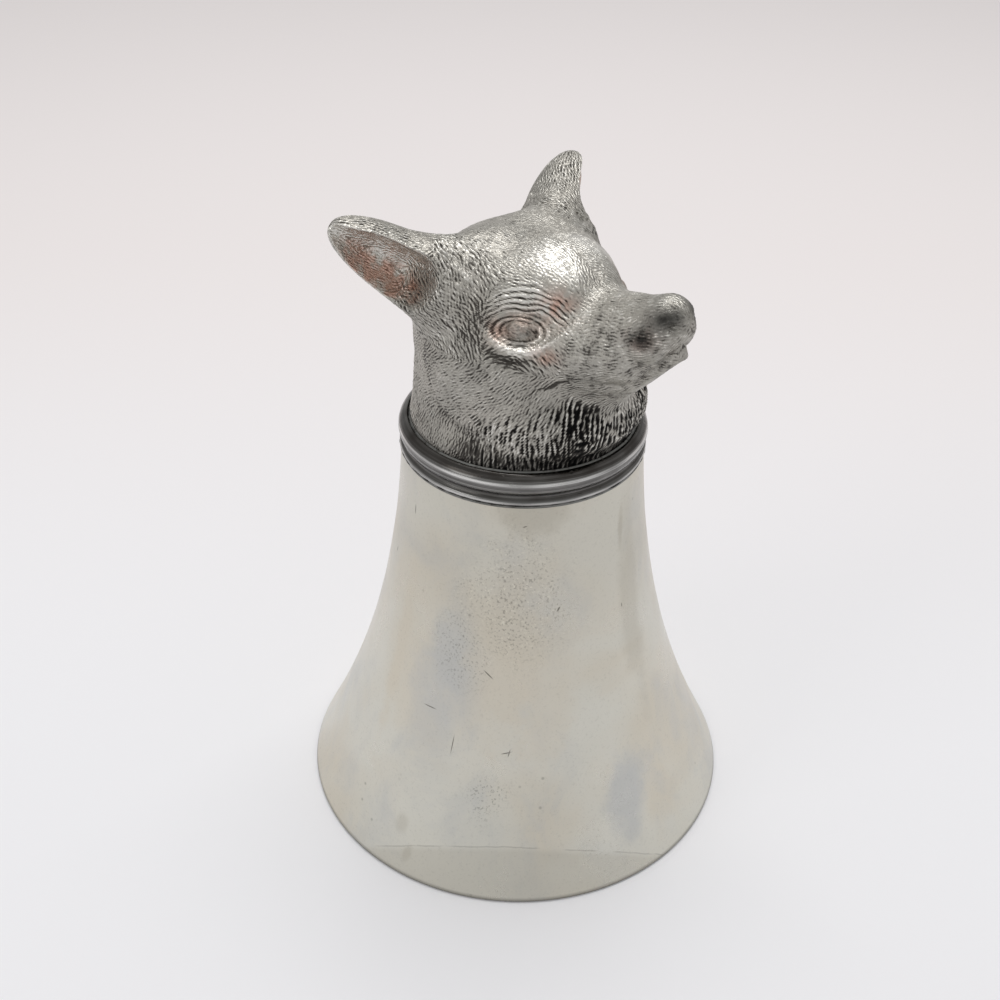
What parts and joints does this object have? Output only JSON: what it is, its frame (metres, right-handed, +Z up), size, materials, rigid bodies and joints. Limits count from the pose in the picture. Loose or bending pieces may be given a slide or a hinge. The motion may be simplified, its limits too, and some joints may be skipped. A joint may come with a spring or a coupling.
{
  "type": "stirrup cup",
  "caption": "Pewter stirrup cup: a flared spun cup that stands on its mouth, with a beaded collar and a hollow cast fox head for a grip.",
  "frame": {"origin": "centre of the mouth, on the surface the cup stands on", "axes": "+Z up along the cup's axis towards the head; -Y the way the fox looks; +X the fox's left"},
  "size_m": [0.075, 0.075, 0.108],
  "materials": {
    "spun_pewter": "satin",
    "collar_pewter": "polished",
    "cast_pewter": "cast",
    "solder": "dull"
  },
  "bodies": {
    "root": {"cup_bell": "spun_pewter", "collar": "collar_pewter", "collar_solder": "solder", "neck_solder": "solder", "head_casting": "cast_pewter", "right_ear": "cast_pewter", "left_ear": "cast_pewter"}
  },
  "joints": []
}
